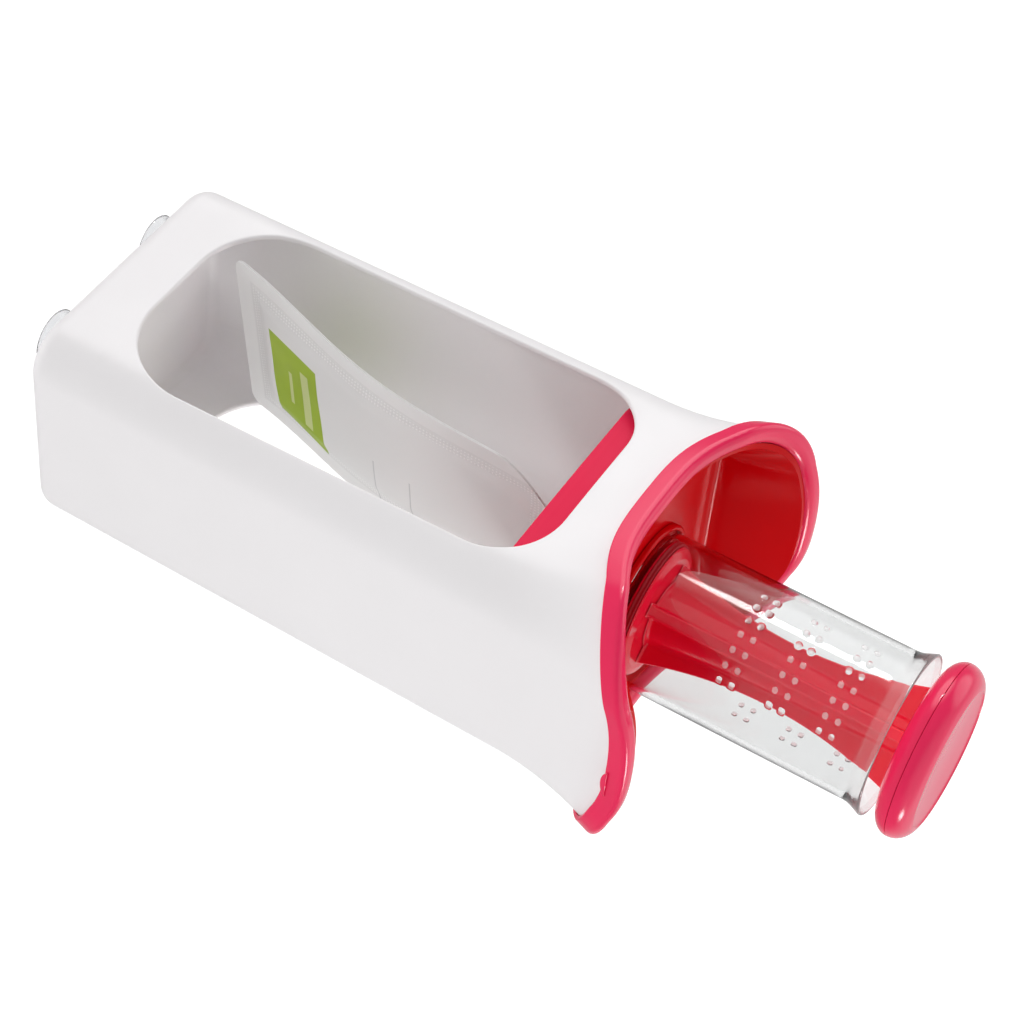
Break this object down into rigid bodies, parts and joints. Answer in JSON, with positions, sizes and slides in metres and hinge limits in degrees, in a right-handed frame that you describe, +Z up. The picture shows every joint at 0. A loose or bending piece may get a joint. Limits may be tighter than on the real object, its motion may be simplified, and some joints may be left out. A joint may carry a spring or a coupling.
{
  "type": "food pouch filling station",
  "caption": "Upright housing on suction cups holding a film pouch under a lift-out carriage, a clear filling tube and a knobbed plunger that presses food into the pouch.",
  "frame": {"origin": "centre of the footprint, on the plane that the suction cup rims stand on", "axes": "+Z up along the filling tube towards the knob, -Y out of the front window, +X to the right when facing the front window"},
  "size_m": [0.1238, 0.1018, 0.309],
  "materials": {
    "white_shell": "smooth satin moulding",
    "crimson_trim": "soft gloss moulding",
    "crimson_tray": "high gloss moulding",
    "crimson_plunger": "gloss moulding",
    "clear_tube": "clear, polished",
    "clear_vinyl": "clear, soft",
    "pouch_film": "frosted film",
    "spout_white": "natural polyethylene",
    "seal_silicone": "matt silicone"
  },
  "bodies": {
    "housing": {"housing_shell": "white_shell", "suction_cup_front_left": "clear_vinyl", "suction_cup_front_right": "clear_vinyl", "suction_cup_back_left": "clear_vinyl", "suction_cup_back_right": "clear_vinyl"},
    "carriage": {"rim_trim": "crimson_trim", "tray": "crimson_tray", "tube_collar": "crimson_tray", "spout_holder": "crimson_tray", "snap_tab_right": "crimson_trim", "snap_tab_left": "crimson_trim"},
    "tube": {"filling_tube": "clear_tube"},
    "plunger": {"plunger_stem": "crimson_plunger", "piston_disc": "crimson_plunger", "piston_seal": "seal_silicone", "knob_base": "crimson_trim", "knob_cap": "crimson_trim"},
    "spout": {"pouch_spout": "spout_white"},
    "pouch": {"pouch_right_film": "pouch_film", "pouch_left_film": "pouch_film"}
  },
  "joints": [
    {"name": "carriage_lift", "type": "slide", "parent": "housing", "child": "carriage", "axis": [0, 0, 1], "range_m": [0, 0.06]},
    {"name": "tube_lift", "type": "slide", "parent": "carriage", "child": "tube", "axis": [0, 0, 1], "range_m": [0, 0.06]},
    {"name": "plunger_press", "type": "slide", "parent": "tube", "child": "plunger", "axis": [0, 0, 1], "range_m": [0, 0.076]},
    {"name": "spout_drop", "type": "slide", "parent": "carriage", "child": "spout", "axis": [0, 0, -1], "range_m": [0, 0.012]},
    {"name": "pouch_swing", "type": "hinge", "parent": "spout", "child": "pouch", "pos_m": [-0.0023, 0, 0.1785], "axis": [0.1305, -0.9914, 0], "range_deg": [-1, 20]}
  ]
}
